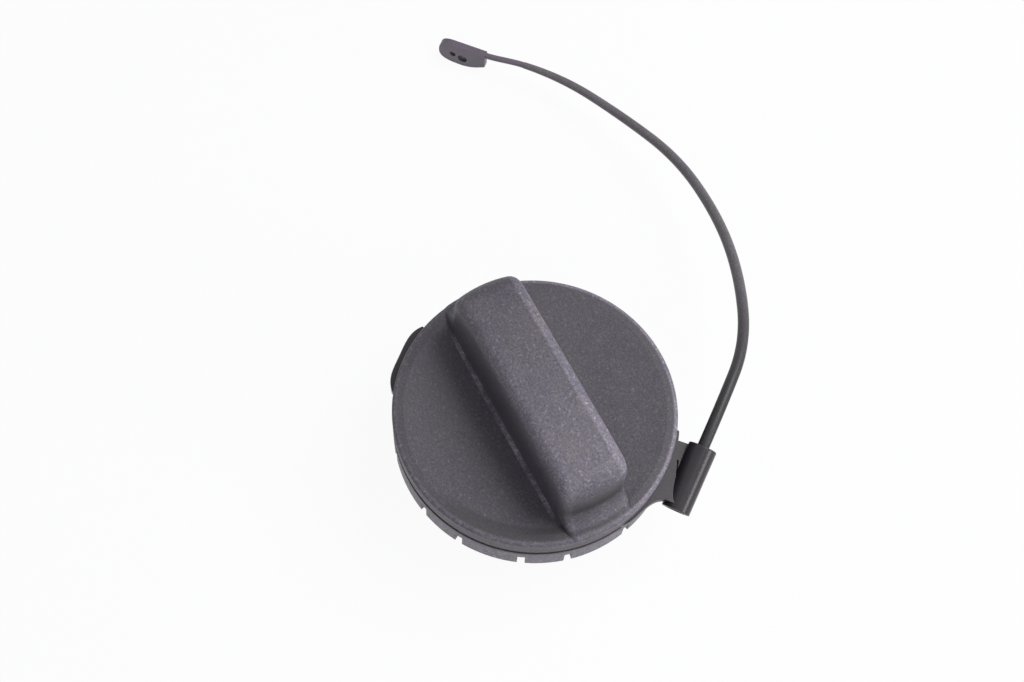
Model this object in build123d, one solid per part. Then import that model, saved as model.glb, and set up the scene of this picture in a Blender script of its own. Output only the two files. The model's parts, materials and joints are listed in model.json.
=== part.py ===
from build123d import *
import os
from math import atan2, cos, degrees, pi, radians, sin, sqrt, tan

# Fuel filler cap with a bayonet closure, a slipping cover, a two-way vent valve and a moulded tether.
# Millimetres, +Z up. The origin is on the cap's axis at the lower end of the closure's barrel, and +X
# runs along the grip bar.

# ---------------------------------------------------------------------------------------------------
# Driving dimensions
# ---------------------------------------------------------------------------------------------------
# Fits and gaps
RUN_FIT = 0.05          # radial clearance of a turning or sliding fit
SNAP_GAP = 0.15         # clearance of a snapped-in piece
PART_GAP = 0.2          # clearance between pieces that pass or nearly meet
OVERCUT = 1.0           # how far a cutting tool runs past the face it opens

# Closure body
BARREL_DIA = 39.0
BARREL_LENGTH = 25.5
BARREL_WALL = 2.5
LEDGE_WIDTH = 1.6       # step in the barrel's bore that the valve housing is pushed against
LEDGE_Z = 17.2
DECK_GAP = 1.25         # radial room between the deck and the cover's skirt
DECK_T = 2.6
SPIGOT_DIA = 8.0
SPIGOT_HEIGHT = 16.5
HUB_DIA = 34.6
HUB_WALL = 2.0
HUB_HEIGHT = 2.8
KEY_COUNT = 3
KEY_WIDTH = 4.0
KEY_DEPTH = 1.4
PILOT_LENGTH = 3.2      # plain length of the barrel's lower end that enters the filler neck
PILOT_RELIEF = 0.5      # depth of the groove between the pilot and the lugs
LUG_DIA = 47.0
LUG_SPAN = 50.0         # degrees
LUG_Z = 3.7
LUG_HEIGHT = 5.3
LUG_RISE = 8.0          # degrees, slope of the cam face
VENT_COUNT = 6
VENT_DIA = 3.0
VENT_PITCH_DIA = 24.0
BARREL_CHAMFER = 0.6

# Filler gasket
GASKET_SHARE = 0.6135   # share of the deck's width outside the barrel that the gasket covers
GASKET_GAP = 1.9        # radial room between the gasket and the retaining ring
GASKET_T = 2.4
GASKET_ROUND = 0.5

# Cover
COVER_DIA = 80.5
SKIRT_DEPTH = 6.3       # from the shoulder down to the skirt's lower edge
SKIRT_WALL = 3.2
DRUM_WALL = 6.0
DRUM_HEIGHT = 10.2      # from the shoulder up to the rim
TOP_T = 2.4
DISH_DEPTH = 2.2
RIM_WIDTH = 3.2
RIM_ROUND = 1.1
GROOVE_Z = 2.7          # above the shoulder
GROOVE_WIDTH = 2.2
GROOVE_DEPTH = 3.8
NOTCH_PAIRS = 8
NOTCH_SPREAD = 9.35     # degrees, half the angle between the two notches of a pair
NOTCH_TURN = -1.0       # degrees
NOTCH_WIDTH = 2.2
NOTCH_HEIGHT = 5.4
TOOTH_COUNT = 30
TOOTH_DEPTH = 1.4
TOOTH_HEIGHT = 4.1
TOOTH_LEAN = 0.85       # share of a tooth's pitch taken by its long flank
POST_WALL = 2.35
POST_ROOM = 1.5         # free height above the spigot

# Grip bar on the cover
GRIP_HEIGHT = 21.3      # above the rim, at mid length
GRIP_CROWN = 1.1        # how much lower the bar's ends are than its middle
GRIP_END_INSET = 6.5    # from the cover's side to the top of the bar's end
GRIP_END_LEAN = 1.0     # how much further out the end's foot is than its top
GRIP_WIDTH = 19.4       # across the top at mid length
GRIP_FLARE_WIDTH = 20.2 # across the top at the ends
GRIP_DRAFT = 1.0        # degrees
GRIP_FLARE = 8.0        # concave radius at the foot of each end
GRIP_NOSE = 6.0         # convex radius over each end
GRIP_ROUND = 3.4        # radius along the long edges and the corners
GRIP_TOE_INSET = 0.3    # from the cover's side to the edge that ends the flare
GRIP_WALL = 2.4
RIB_T = 1.8
RIB_PLACES = (15.0, 24.5)

# Retaining ring
RETAINER_T = 1.4
RETAINER_Z_GAP = 0.3    # below the deck
SNAP_DEPTH = 1.1        # how deep the ring's rim sits in the skirt

# Torque ring
TORQUE_RIM = 5.0
TORQUE_HEIGHT = 3.6
PAWL_COUNT = 3
PAWL_T = 2.0
PAWL_SPAN = 78.0        # degrees
PAWL_NOSE = 3.2
PAWL_KNOTS = (0, 0.35, 0.7, 1)  # shares of the span at which the arm's curve is set out

# Tether ring
TETHER_RING_WIDTH = 3.3
TETHER_RING_T = 1.8
SLEEVE_STANDOFF = 6.75  # from the cover's side to the sleeve's axis
SLEEVE_ANGLE = 37.3     # degrees, plan angle of the sleeve's foot point
SLEEVE_TILT = 16.6      # degrees, rise of the sleeve toward the strand
SLEEVE_DIA = 8.3
SLEEVE_LOW = 7.7        # sleeve's length before and after its foot point
SLEEVE_HIGH = 11.76
SLEEVE_DROP = 1.21      # from the ring's mid height down to the sleeve's axis at the foot point
SLEEVE_ROUND = 0.3
SLEEVE_POCKET_DIA = 5.6
SLEEVE_POCKET_DEPTH = 6.2
WEB_START = 8.0         # degrees, where the web leaves the ring
WEB_BEND = [            # web's lower edge: reach beyond the ring, angle in degrees
    (0.95, 20.0),
    (2.65, 26.6),
]
WEB_SEAT = 0.82         # share of the sleeve's radius where the web meets it
WEB_EAR = 1.35          # how far the ring stands out beside the web
WEB_EAR_END = 56.0      # degrees
WEB_EAR_FADE = 4.0      # degrees, run of the ear back into the ring
SLIT_WIDTH = 0.5
SLIT_DEPTH = 1.2
SLIT_ENDS = [           # reach beyond the ring, angle in degrees
    (2.35, 44.3),
    (4.65, 33.9),
]
TAB_START = -157.5      # degrees
TAB_END = -126.2        # degrees
TAB_REACH = 2.75        # beyond the cover's side, near its start
TAB_FADE = 0.7          # how much less it reaches near its end
TAB_HEEL = 0.8          # rounding at the tab's ends
TAB_LIP_ROOM = 1.0      # from the cover's side to the inside of the tab's lip
TAB_LIP_DROP = 1.6

# Tether strand, its anchor plug and its end tongue
CORD_DIA = 3.3
PLUG_HEAD_LENGTH = 5.9
CORD_SETBACK = 0.5      # how far inside the sleeve's mouth the strand leaves the plug
CORD_POINTS = [
    (30.85, 37.06, 34.26),
    (23.24, 47.05, 38.00),
    (9.0, 64.8, 36.0),
    (-13.5, 77.5, 29.8),
    (-36.3, 85.1, 22.7),
    (-62.7, 87.5, 16.3),
    (-87.4, 81.3, 11.4),
    (-111.6, 71.3, 8.9),
    (-121.3, 62.5, 8.8),
]
CORD_TRIM = 0.45        # share of the shorter run that a bend takes up
NECK_DIA = 2.0
NECK_REACH = 13.4       # from the strand's end to the tongue's shoulder, in plan
NECK_BEARING = -133.5   # degrees, plan direction of that reach
TONGUE_HEADING = -139.0 # degrees, plan direction of the tongue
TONGUE_LENGTH = 16.8
TONGUE_HEIGHT = 9.6
TONGUE_T = 2.2
TONGUE_SHOULDER = 3.3   # height of the square shoulder's lower corner
TONGUE_FLAT = 0.7       # share of the length along which the top edge is straight
TONGUE_NOSE = 0.57      # share of the height at which the tip is furthest out
TONGUE_BELLY = 0.54     # share of the length at which the lower edge touches down
TONGUE_RISE = 0.6       # slope of the lower edge where it meets the shoulder
RECESSES = [            # along from the shoulder, height, diameter
    (11.8, 4.6, 2.2),
    (8.2, 3.8, 3.4),
]
RECESS_DEPTH = 0.9

# Splash guard
GUARD_T = 1.4
GUARD_Z = 1.0
GUARD_RIM_WALL = 1.7
GUARD_RIM_TOP = 5.0
GUARD_BEAD = 0.5
GUARD_BEAD_T = 1.0
GUARD_SLOTS = 5
GUARD_SLOT_WIDTH = 2.6
GUARD_SLOT_SPREAD = 0.85  # share of the guard's clear radius that the row of slots takes up

# Valve housing and its O-ring
HOUSING_WALL = 2.2
HOUSING_FLOOR_Z = 8.0
HOUSING_FLOOR_T = 2.0
SEAT_PORT_DIA = 18.0
SEAT_LIP_WIDTH = 1.0
SEAT_LIP_HEIGHT = 0.6
ORING_Z = 14.0
ORING_GROOVE_DEPTH = 1.1

# Pressure valve
PRESSURE_SEAL_DIA = 24.0
PRESSURE_SEAL_T = 1.4
PLATE_DIA = 24.8
PLATE_T = 1.6
PLATE_HUB_HEIGHT = 1.4
PLATE_HUB_WALL = 1.6
PLATE_PORTS = 4
PLATE_PORT_DIA = 1.8
PLATE_WINGS = 4
WING_T = 1.2
WING_HEIGHT = 3.0
PRESSURE_WIRE = 1.2
PRESSURE_COIL_DIA = 19.0
PRESSURE_TURNS = 4.5
SPRING_SEAT_T = 0.6

# Vacuum valve
VACUUM_DISC_DIA = 13.2
VACUUM_DISC_T = 1.2
VACUUM_SEAL_DIA = 12.8
VACUUM_SEAL_T = 1.1
STEM_DIA = 3.2
STEM_TOP_Z = 22.4
VACUUM_WIRE = 0.5
VACUUM_COIL_DIA = 5.2
VACUUM_TURNS = 4.5
VACUUM_SPRING_LENGTH = 5.6
KEEPER_DIA = 6.8
KEEPER_T = 0.8
KEEPER_BITE = 0.35      # how deep the keeper sits in the stem
KEEPER_MOUTH = 0.8      # keeper's mouth as a share of the groove's diameter

# ---------------------------------------------------------------------------------------------------
# Derived sizes
# ---------------------------------------------------------------------------------------------------
BARREL_R = BARREL_DIA / 2
BORE_R = BARREL_R - BARREL_WALL
UPPER_BORE_R = BORE_R - LEDGE_WIDTH
DECK_Z = BARREL_LENGTH
DECK_TOP = DECK_Z + DECK_T
SPIGOT_R = SPIGOT_DIA / 2
SPIGOT_TOP = DECK_TOP + SPIGOT_HEIGHT
HUB_R = HUB_DIA / 2

COVER_R = COVER_DIA / 2
SHOULDER_Z = DECK_TOP + PART_GAP
SKIRT_Z = SHOULDER_Z - SKIRT_DEPTH
RIM_Z = SHOULDER_Z + DRUM_HEIGHT
SKIRT_BORE_R = COVER_R - SKIRT_WALL
DRUM_R = COVER_R - DRUM_WALL
DECK_R = SKIRT_BORE_R - DECK_GAP
GROOVE_LOW = SHOULDER_Z + GROOVE_Z
GRIP_TOP = RIM_Z + GRIP_HEIGHT
GRIP_HEAD_R = COVER_R - GRIP_END_INSET
GRIP_FOOT_R = GRIP_HEAD_R + GRIP_END_LEAN
GRIP_TOE_R = GRIP_FOOT_R + GRIP_FLARE + OVERCUT
GROOVE_R = COVER_R - GROOVE_DEPTH
DISH_R = COVER_R - RIM_WIDTH
DISH_SPHERE_R = (DISH_R ** 2 + DISH_DEPTH ** 2) / (2 * DISH_DEPTH)
DISH_FLOOR_Z = RIM_Z - DISH_DEPTH
CEILING_Z = DISH_FLOOR_Z - TOP_T
CREST_R = DRUM_R - TOOTH_DEPTH
POST_BORE_R = SPIGOT_R + RUN_FIT
POST_R = POST_BORE_R + POST_WALL

RETAINER_TOP = DECK_Z - RETAINER_Z_GAP
GASKET_R = BARREL_R + GASKET_SHARE * (DECK_R - BARREL_R)
RETAINER_BORE_R = GASKET_R + GASKET_GAP
RETAINER_R = SKIRT_BORE_R + SNAP_DEPTH - SNAP_GAP
TORQUE_BORE_R = HUB_R + PART_GAP
TORQUE_R = TORQUE_BORE_R + TORQUE_RIM
PAWL_TIP_R = CREST_R - SNAP_GAP

TETHER_IN_R = GROOVE_R + PART_GAP + RUN_FIT
TETHER_R = TETHER_IN_R + TETHER_RING_WIDTH
TETHER_ROOT_R = TETHER_R - TETHER_RING_WIDTH / 2
TETHER_LOW = GROOVE_LOW + (GROOVE_WIDTH - TETHER_RING_T) / 2
TETHER_TOP = TETHER_LOW + TETHER_RING_T
SLEEVE_AXIS_R = COVER_R + SLEEVE_STANDOFF
SLEEVE_R = SLEEVE_DIA / 2
SLEEVE_Z = TETHER_LOW + TETHER_RING_T / 2 - SLEEVE_DROP
CORD_R = CORD_DIA / 2
SLEEVE_BORE_R = CORD_R + PART_GAP
POCKET_R = SLEEVE_POCKET_DIA / 2
POCKET_END = SLEEVE_POCKET_DEPTH - SLEEVE_LOW

GUARD_R = BORE_R - SNAP_GAP
GUARD_BEAD_Z = (GUARD_Z + GUARD_RIM_TOP) / 2
HOUSING_R = BORE_R - PART_GAP
HOUSING_IN_R = HOUSING_R - HOUSING_WALL
HOUSING_TOP = LEDGE_Z - PART_GAP
SEAT_PORT_R = SEAT_PORT_DIA / 2
SEAT_TOP = HOUSING_FLOOR_Z + HOUSING_FLOOR_T + SEAT_LIP_HEIGHT
ORING_SEAT_R = HOUSING_R - ORING_GROOVE_DEPTH
ORING_R = (BORE_R - ORING_SEAT_R) / 2
PRESSURE_SEAL_R = PRESSURE_SEAL_DIA / 2
PRESSURE_SEAL_IN_R = VACUUM_SEAL_DIA / 2 + 2 * PART_GAP
PLATE_Z = SEAT_TOP + PRESSURE_SEAL_T
PLATE_TOP = PLATE_Z + PLATE_T
HUB_TOP = PLATE_TOP + PLATE_HUB_HEIGHT
STEM_R = STEM_DIA / 2
STEM_HOLE_R = STEM_R + RUN_FIT
PLATE_HUB_R = STEM_HOLE_R + PLATE_HUB_WALL
WING_R = min(HOUSING_IN_R, UPPER_BORE_R) - 2 * PART_GAP
COIL_IN_R = (PRESSURE_COIL_DIA - PRESSURE_WIRE) / 2
WING_IN_R = (PRESSURE_COIL_DIA + PRESSURE_WIRE) / 2 + PART_GAP
SPRING_TOP = DECK_Z - SPRING_SEAT_T
VACUUM_DISC_TOP = PLATE_Z - VACUUM_SEAL_T
KEEPER_Z = HUB_TOP + VACUUM_SPRING_LENGTH


# ---------------------------------------------------------------------------------------------------
# Small helpers
# ---------------------------------------------------------------------------------------------------
def tube(outer, inner, low, high):
    return Pos(0, 0, low) * extrude(Circle(outer) - Circle(inner), amount=high - low)


def disc(radius, low, high):
    return Pos(0, 0, low) * extrude(Circle(radius), amount=high - low)


def polar(radius, angle):
    return (radius * cos(radians(angle)), radius * sin(radians(angle)))


def plate(outline, low, high):
    """Flat plate between two heights from a closed plan outline."""
    return Pos(0, 0, low) * extrude(make_face(outline), amount=high - low, dir=(0, 0, 1))


def sector(outer, inner, start, end, low, high):
    outline = [
        CenterArc((0, 0), outer, start, end - start),
        Line(polar(outer, end), polar(inner, end)),
        CenterArc((0, 0), inner, start, end - start),
        Line(polar(inner, start), polar(outer, start)),
    ]
    return plate(outline, low, high)


def around(count, shape, start=0.0):
    """The shape repeated evenly about the axis."""
    return [Rot(0, 0, start + 360 * i / count) * shape for i in range(count)]


def coil(mean_dia, wire, turns, low, high):
    """Compression spring of round wire that stands between two heights."""
    wire_r = wire / 2
    rise = high - low - wire
    path = Helix(pitch=rise / turns, height=rise, radius=mean_dia / 2)
    section = Plane(origin=path @ 0, z_dir=path % 0) * Circle(wire_r)
    return Pos(0, 0, low + wire_r) * sweep(section, path, is_frenet=True)


# ---------------------------------------------------------------------------------------------------
# Cover
# ---------------------------------------------------------------------------------------------------
def grip_profile(inset, base):
    """Half the grip bar's side view, from its middle out to one end, every face moved in by the inset."""
    top = GRIP_TOP - inset
    end_top = top - GRIP_CROWN
    head = GRIP_HEAD_R - inset
    foot = GRIP_FOOT_R - inset
    crown = TangentArc((0, top), (head, end_top), tangent=(1, 0))
    if inset:
        face = make_face([crown, Polyline((head, end_top), (foot, base), (0, base), (0, top))])
        return fillet(face.vertices().sort_by_distance((head, end_top))[0], GRIP_NOSE - inset)
    wall = Polyline((head, end_top), (foot, RIM_Z), (GRIP_TOE_R, RIM_Z), (GRIP_TOE_R, base), (0, base),
                    (0, top))
    face = make_face([crown, wall])
    face = fillet(face.vertices().sort_by_distance((head, end_top))[0], GRIP_NOSE)
    return fillet(face.vertices().sort_by_distance((foot, RIM_Z))[0], GRIP_FLARE)


def grip_form(inset, base):
    """Grip bar as a solid block: its end profile turned about the axis, cut to the waisted plan."""
    reach = GRIP_TOE_R + OVERCUT
    height = GRIP_TOP + OVERCUT - base
    spread = (GRIP_TOP - base) * tan(radians(GRIP_DRAFT))
    mid = GRIP_WIDTH / 2 - inset + spread
    end = GRIP_FLARE_WIDTH / 2 - inset + spread
    plan = make_face([
        ThreePointArc((-reach, -end), (0, -mid), (reach, -end)),
        Line((reach, -end), (reach, end)),
        ThreePointArc((reach, end), (0, mid), (-reach, end)),
        Line((-reach, end), (-reach, -end)),
    ])
    block = Pos(0, 0, base) * extrude(plan, amount=height, taper=GRIP_DRAFT)
    form = block & revolve(Plane.XZ * grip_profile(inset, base), Axis.Z)
    flanks = form.faces().filter_by(lambda f: abs(f.normal_at().Y) > 0.9)
    edges = [e for f in flanks for e in f.edges()]
    low = base + OVERCUT if inset else RIM_Z - PART_GAP
    edges = [e for e in edges if e.center().Z > low and abs(e.center().X) < GRIP_TOE_R - PART_GAP]
    return fillet(edges, GRIP_ROUND - inset)


def drum_teeth():
    """Ring of saw teeth inside the drum that the torque ring's pawls push against."""
    pitch = 360 / TOOTH_COUNT
    back = DRUM_R + PART_GAP
    root = DRUM_R - RUN_FIT
    tooth = [
        polar(back, 0),
        polar(root, 0),
        polar(CREST_R, pitch * TOOTH_LEAN),
        polar(root, pitch),
        polar(back, pitch),
    ]
    solid = plate([Polyline(*tooth, close=True)], SHOULDER_Z, SHOULDER_Z + TOOTH_HEIGHT)
    return around(TOOTH_COUNT, solid)


def cover():
    body = disc(COVER_R, SKIRT_Z, RIM_Z)
    body = fillet(body.edges().group_by(Axis.Z)[-1], RIM_ROUND)
    body -= Pos(0, 0, DISH_FLOOR_Z + DISH_SPHERE_R) * Sphere(DISH_SPHERE_R)
    body += grip_form(0, CEILING_Z + TOP_T / 2) & disc(COVER_R - GRIP_TOE_INSET, SKIRT_Z, GRIP_TOP)
    body -= disc(SKIRT_BORE_R, SKIRT_Z, SHOULDER_Z)
    drum = disc(DRUM_R, SHOULDER_Z, RIM_Z)
    drum -= Pos(0, 0, DISH_FLOOR_Z + DISH_SPHERE_R) * Sphere(DISH_SPHERE_R + TOP_T)
    body -= drum
    body -= grip_form(GRIP_WALL, CEILING_Z - OVERCUT)
    body += cover_ribs()
    body += drum_teeth()
    body -= disc(POST_BORE_R, SHOULDER_Z, SPIGOT_TOP + POST_ROOM)
    body -= tube(COVER_R + OVERCUT, GROOVE_R, GROOVE_LOW, GROOVE_LOW + GROOVE_WIDTH)
    snap_low = RETAINER_TOP - RETAINER_T - SNAP_GAP / 2
    body -= disc(SKIRT_BORE_R + SNAP_DEPTH, snap_low, RETAINER_TOP + SNAP_GAP / 2)
    notch = Pos(COVER_R - SKIRT_WALL / 2, 0, SKIRT_Z + NOTCH_HEIGHT / 2) * Box(
        SKIRT_WALL + 2 * OVERCUT, NOTCH_WIDTH, NOTCH_HEIGHT)
    half_pitch = 180 / NOTCH_PAIRS
    for spread in (-NOTCH_SPREAD, NOTCH_SPREAD):
        body -= around(NOTCH_PAIRS, notch, half_pitch + NOTCH_TURN + spread)
    return body


def cover_ribs():
    """Pivot post and the ribs that tie it to the inside of the hollow grip bar."""
    room = grip_form(GRIP_WALL - PART_GAP, SHOULDER_Z)
    top = GRIP_TOP
    low = CEILING_Z
    pieces = [disc(POST_R, SHOULDER_Z, top) & room]
    span = 2 * max(RIB_PLACES)
    pieces.append(Pos(0, 0, (low + top) / 2) * Box(span, RIB_T, top - low) & room)
    for place in RIB_PLACES:
        for x in (-place, place):
            pieces.append(Pos(x, 0, (low + top) / 2) * Box(RIB_T, GRIP_WIDTH, top - low) & room)
    return pieces


# ---------------------------------------------------------------------------------------------------
# Closure body and what is fixed to it
# ---------------------------------------------------------------------------------------------------
def closure_body():
    body = tube(BARREL_R, BORE_R, 0, LEDGE_Z)
    body += tube(BARREL_R, UPPER_BORE_R, LEDGE_Z, DECK_Z)
    body += disc(DECK_R, DECK_Z, DECK_TOP)
    spigot = disc(SPIGOT_R, DECK_TOP, SPIGOT_TOP)
    spigot = chamfer(spigot.edges().group_by(Axis.Z)[-1], BARREL_CHAMFER)
    body += spigot
    body += tube(HUB_R, HUB_R - HUB_WALL, DECK_TOP, DECK_TOP + HUB_HEIGHT)
    key = Pos(HUB_R + KEY_DEPTH / 2 - PART_GAP, 0, DECK_TOP + HUB_HEIGHT / 2) * Box(
        KEY_DEPTH + 2 * PART_GAP, KEY_WIDTH, HUB_HEIGHT)
    body += around(KEY_COUNT, key)
    body -= tube(BARREL_R + OVERCUT, BARREL_R - PILOT_RELIEF, PILOT_LENGTH, LUG_Z)
    body += around(2, cam_lug())
    vent = Pos(VENT_PITCH_DIA / 2, 0, 0) * disc(VENT_DIA / 2, DECK_Z - OVERCUT, DECK_TOP + OVERCUT)
    body -= around(VENT_COUNT, vent, 180 / VENT_COUNT)
    locator_r = COIL_IN_R - SNAP_GAP - SPRING_SEAT_T
    body += tube(locator_r, locator_r - SPRING_SEAT_T * 2, DECK_Z - SPRING_SEAT_T * 2, DECK_Z)
    half_groove = GUARD_BEAD_T / 2 + SNAP_GAP
    groove_r = GUARD_R + GUARD_BEAD + SNAP_GAP
    return body - tube(groove_r, BORE_R - OVERCUT, GUARD_BEAD_Z - half_groove, GUARD_BEAD_Z + half_groove)


def cam_lug():
    """Bayonet lug with a sloping cam face on top and a rounded lead at its low end."""
    lug = sector(LUG_DIA / 2, BARREL_R - PART_GAP, -LUG_SPAN / 2, LUG_SPAN / 2, LUG_Z, LUG_Z + LUG_HEIGHT)
    cutter = Pos(BARREL_R, 0, LUG_HEIGHT / 2) * Box(BARREL_R, BARREL_DIA, LUG_HEIGHT)
    slope = Pos(0, 0, LUG_Z + LUG_HEIGHT) * Rot(LUG_RISE, 0, 0) * cutter
    lug -= slope
    upright = lug.edges().filter_by(Axis.Z).sort_by(SortBy.DISTANCE)[-2:]
    return fillet(upright, OVERCUT)


def filler_gasket():
    body = tube(GASKET_R, BARREL_R, DECK_Z - GASKET_T, DECK_Z)
    outer = body.faces().sort_by(SortBy.AREA).filter_by(GeomType.CYLINDER)[-1]
    return fillet(outer.edges().filter_by(GeomType.CIRCLE), GASKET_ROUND)


def retaining_ring():
    body = tube(RETAINER_R, RETAINER_BORE_R, RETAINER_TOP - RETAINER_T, RETAINER_TOP)
    outer = body.faces().filter_by(GeomType.CYLINDER).sort_by(SortBy.AREA)[-1]
    return chamfer(outer.edges().filter_by(GeomType.CIRCLE).group_by(Axis.Z)[0], RETAINER_T / 3)


def torque_ring():
    top = DECK_TOP + TORQUE_HEIGHT
    body = tube(TORQUE_R, TORQUE_BORE_R, DECK_TOP, top)
    body += [Rot(0, 0, 360 * i / PAWL_COUNT) * pawl(top) for i in range(PAWL_COUNT)]
    keyway = Pos(HUB_R + KEY_DEPTH / 2, 0, DECK_TOP + HUB_HEIGHT / 2) * Box(
        KEY_DEPTH + 2 * PART_GAP, KEY_WIDTH + 2 * PART_GAP, HUB_HEIGHT + 2 * PART_GAP)
    body -= around(KEY_COUNT, keyway)
    return body


def pawl(top):
    """Springy spiral arm with a square nose at its tip."""
    root_r = TORQUE_R - PAWL_T
    end_r = PAWL_TIP_R - PAWL_NOSE / 2
    outer = [polar(root_r + PAWL_T + (end_r - root_r) * s, PAWL_SPAN * s) for s in PAWL_KNOTS[:-1]]
    inner = [polar(root_r + (end_r - root_r) * s, PAWL_SPAN * s) for s in reversed(PAWL_KNOTS)]
    nose_angle = degrees(PAWL_NOSE / PAWL_TIP_R)
    tip = polar(PAWL_TIP_R, PAWL_SPAN)
    heel = polar(end_r + PAWL_T / 2, PAWL_SPAN - nose_angle)
    outline = [
        Spline(*outer, heel),
        Line(heel, tip),
        Line(tip, inner[0]),
        Spline(*inner),
        Line(inner[-1], outer[0]),
    ]
    return plate(outline, DECK_TOP + PART_GAP, top)


# ---------------------------------------------------------------------------------------------------
# Tether
# ---------------------------------------------------------------------------------------------------
def by_sleeve(along, inward):
    """Plan point at a distance along the sleeve from its foot point, and in from its axis."""
    radius = SLEEVE_AXIS_R - inward
    x, y = polar(radius, SLEEVE_ANGLE)
    dx, dy = polar(along, SLEEVE_ANGLE + 90)
    return (x + dx, y + dy)


def sleeve_plane(along):
    """Plane square to the tilted sleeve at a distance along its axis from its foot point."""
    rise = sin(radians(SLEEVE_TILT))
    run = cos(radians(SLEEVE_TILT))
    x, y = by_sleeve(along * run, 0)
    dx, dy = polar(run, SLEEVE_ANGLE + 90)
    return Plane(origin=(x, y, SLEEVE_Z + along * rise), z_dir=(dx, dy, rise))


def along_sleeve(radius, start, end):
    return sleeve_plane(start) * extrude(Circle(radius), amount=end - start)


def beyond_ring(reach, angle):
    return polar(TETHER_R + reach, angle)


def tether_ring():
    body = tube(TETHER_R, TETHER_IN_R, TETHER_LOW, TETHER_TOP)
    body += sleeve_web()
    barrel = along_sleeve(SLEEVE_R, -SLEEVE_LOW, SLEEVE_HIGH)
    body += fillet(barrel.edges().filter_by(GeomType.CIRCLE), SLEEVE_ROUND)
    body += tether_tab()
    body -= along_sleeve(SLEEVE_BORE_R, -SLEEVE_LOW, SLEEVE_HIGH)
    body -= along_sleeve(POCKET_R, -SLEEVE_LOW, POCKET_END)
    return body


def sleeve_web():
    """Web that carries the sleeve, with a blind slit across its top face."""
    low = SLEEVE_ROUND - SLEEVE_LOW * cos(radians(SLEEVE_TILT))
    high = SLEEVE_HIGH * cos(radians(SLEEVE_TILT)) - SLEEVE_ROUND
    seat = SLEEVE_R * WEB_SEAT
    ear_angle = degrees(atan2(high, TETHER_R + WEB_EAR)) + SLEEVE_ANGLE
    end = WEB_EAR_END + WEB_EAR_FADE
    bend = [beyond_ring(reach, angle) for reach, angle in WEB_BEND]
    outline = [
        Line(polar(TETHER_ROOT_R, WEB_START), beyond_ring(0, WEB_START)),
        Spline(beyond_ring(0, WEB_START), *bend, by_sleeve(low, seat)),
        Polyline(by_sleeve(low, seat), by_sleeve(low, 0), by_sleeve(high, 0), by_sleeve(high, seat),
                 beyond_ring(WEB_EAR, ear_angle)),
        CenterArc((0, 0), TETHER_R + WEB_EAR, ear_angle, WEB_EAR_END - ear_angle),
        Line(beyond_ring(WEB_EAR, WEB_EAR_END), polar(TETHER_ROOT_R, end)),
        CenterArc((0, 0), TETHER_ROOT_R, WEB_START, end - WEB_START),
    ]
    slit = trace(Line(*[beyond_ring(reach, angle) for reach, angle in SLIT_ENDS]), SLIT_WIDTH)
    cutter = Pos(0, 0, TETHER_TOP - SLIT_DEPTH) * extrude(slit, amount=SLIT_DEPTH, dir=(0, 0, 1))
    return plate(outline, TETHER_LOW, TETHER_TOP) - cutter


def tether_tab():
    """Crescent-shaped thumb tab opposite the sleeve, with a lip turned down along its outer edge."""
    reach = COVER_R + TAB_REACH
    mid = (TAB_START + TAB_END) / 2
    outline = [
        Line(polar(TETHER_ROOT_R, TAB_START), polar(reach - TAB_HEEL, TAB_START)),
        Spline(polar(reach - TAB_HEEL, TAB_START), polar(reach, TAB_START + 4 * TAB_HEEL),
               polar(reach - TAB_FADE / 2, mid), polar(reach - TAB_FADE, TAB_END - 6 * TAB_HEEL),
               beyond_ring(TAB_HEEL, TAB_END)),
        Line(beyond_ring(TAB_HEEL, TAB_END), polar(TETHER_ROOT_R, TAB_END)),
        CenterArc((0, 0), TETHER_ROOT_R, TAB_START, TAB_END - TAB_START),
    ]
    lip_low = TETHER_LOW - TAB_LIP_DROP
    lip = plate(outline, lip_low, TETHER_LOW) - disc(COVER_R + TAB_LIP_ROOM, lip_low, TETHER_LOW)
    return plate(outline, TETHER_LOW, TETHER_TOP) + lip


def cord_stop():
    """Anchor plug moulded at the strand's root: a head in the sleeve's pocket and a shank in its bore."""
    head = along_sleeve(POCKET_R - SNAP_GAP, POCKET_END - PLUG_HEAD_LENGTH, POCKET_END)
    return head + along_sleeve(CORD_R, POCKET_END - PART_GAP, SLEEVE_HIGH - CORD_SETBACK)


def cord_radii():
    """One bend radius for each inner point, from the shorter run beside it and the half turn."""
    points = [Vector(*p) for p in CORD_POINTS]
    radii = []
    for before, here, after in zip(points, points[1:], points[2:]):
        a = here - before
        b = after - here
        half_turn = radians(a.get_angle(b)) / 2
        radii.append(CORD_TRIM * min(a.length, b.length) / tan(half_turn))
    return radii


def tether_cord():
    radii = cord_radii()
    print("cord bend radii:", [round(r, 1) for r in radii])
    path = FilletPolyline(*CORD_POINTS, radius=radii)
    section = Plane(origin=path @ 0, z_dir=path % 0) * Circle(CORD_R)
    body = sweep(section, path)
    print("cord length:", round(path.length, 1), "volume share:", round(
        body.volume / (pi * CORD_R ** 2 * path.length), 4))
    return body


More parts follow.
